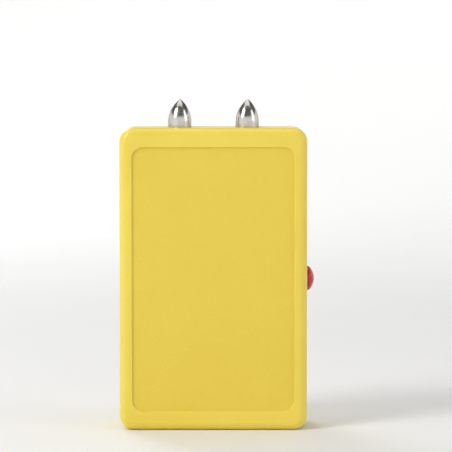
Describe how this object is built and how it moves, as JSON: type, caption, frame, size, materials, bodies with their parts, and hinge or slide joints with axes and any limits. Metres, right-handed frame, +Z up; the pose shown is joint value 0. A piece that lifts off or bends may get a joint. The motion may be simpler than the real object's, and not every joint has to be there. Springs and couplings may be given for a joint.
{
  "type": "electric cattle prodder",
  "caption": "Flat pocket-size electric stock prodder with a two-part rounded case, pointed electrodes on top, a domed side push button and a hinged battery door on the back.",
  "frame": {"origin": "middle of the case's width on the flat base, in the plane of the seam between the two shells", "axes": "+Z up from the base to the electrodes, the front panel looks along -Y, the push button is on the +X side"},
  "size_m": [0.0832, 0.03, 0.141],
  "materials": {
    "case_plastic": "satin moulded",
    "button_plastic": "semi-gloss moulded",
    "electrode_metal": "nickel plated",
    "screw_steel": "zinc plated",
    "spring_steel": "bright wire",
    "contact_metal": "nickel plated sheet",
    "board": "solder mask",
    "ferrite": "matt ceramic",
    "black_plastic": "moulded",
    "winding": "enamelled wire",
    "film_capacitor": "dipped",
    "capacitor_can": "sleeved",
    "component_body": "lacquered",
    "red_lead": "insulation",
    "black_lead": "insulation",
    "cell_wrap": "plain printed wrap"
  },
  "bodies": {
    "case": {"front_shell": "case_plastic", "rear_shell": "case_plastic", "case_screws": "screw_steel", "electrode_left": "electrode_metal", "electrode_right": "electrode_metal", "button_spring": "spring_steel", "switch_body": "black_plastic", "switch_terminals": "contact_metal", "switch_screws": "screw_steel", "circuit_board": "board", "board_screws": "screw_steel", "transformer_core": "ferrite", "transformer_bobbin": "black_plastic", "transformer_winding": "winding", "pulse_capacitor": "film_capacitor", "supply_capacitor": "capacitor_can", "power_transistor": "black_plastic", "rectifier_diodes": "black_plastic", "resistors": "component_body", "high_voltage_lead_left": "red_lead", "high_voltage_lead_right": "red_lead", "battery_lead_positive": "red_lead", "battery_lead_negative": "black_lead", "cell_1": "cell_wrap", "cell_2": "cell_wrap", "cell_3": "cell_wrap", "cell_4": "cell_wrap", "contact_plate_positive": "contact_metal", "contact_plate_negative": "contact_metal", "contact_link_top": "contact_metal", "contact_links_bottom": "contact_metal", "contact_springs": "spring_steel"},
    "button": {"push_button": "button_plastic"},
    "lever": {"switch_lever": "contact_metal"},
    "plunger": {"switch_plunger": "button_plastic"},
    "door": {"battery_door": "case_plastic"}
  },
  "joints": [
    {"name": "button_press", "type": "slide", "parent": "case", "child": "button", "axis": [-1, 0, 0], "range_m": [0, 0.0018], "stiffness_N_per_m": 600, "deforming": ["button_spring"]},
    {"name": "switch_lever_turn", "type": "hinge", "parent": "case", "child": "lever", "pos_m": [0.0296, 0, 0.0803], "axis": [0, 1, 0], "range_deg": [0, 6.5]},
    {"name": "switch_plunger_press", "type": "slide", "parent": "case", "child": "plunger", "axis": [-1, 0, 0], "range_m": [0, 0.00085]},
    {"name": "battery_door_swing", "type": "hinge", "parent": "case", "child": "door", "pos_m": [0, 0.013, 0.0076], "axis": [-1, 0, 0], "range_deg": [0, 90]}
  ],
  "couplings": [
    {"joint": "switch_lever_turn", "follows": "button_press", "rad_per_m": 61.25},
    {"joint": "switch_plunger_press", "follows": "button_press", "ratio": 0.4478}
  ]
}
